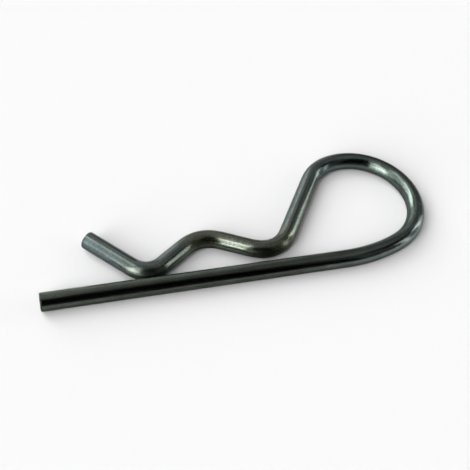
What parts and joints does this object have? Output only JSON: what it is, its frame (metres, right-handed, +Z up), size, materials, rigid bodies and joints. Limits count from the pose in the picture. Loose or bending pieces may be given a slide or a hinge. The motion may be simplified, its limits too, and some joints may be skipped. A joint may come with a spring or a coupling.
{
  "type": "hitch r clip pin",
  "caption": "R-shaped spring clip of round wire: a straight leg for a pin's cross hole, a spring loop and a wavy leg whose hump closes over the pin.",
  "frame": {"origin": "bottom centre of the bounding box: the middle of the clip's outline, on the surface it lies on", "axes": "+X along the straight leg from its free end to the spring loop, +Y from the straight leg to the wavy leg, +Z up, square to the plane in which the wire is bent"},
  "size_m": [0.0904, 0.0328, 0.004],
  "materials": {
    "wire": "drawn spring steel wire with a thin dark plating, semi-gloss"
  },
  "bodies": {
    "root": {"r_clip": "wire"}
  },
  "joints": []
}
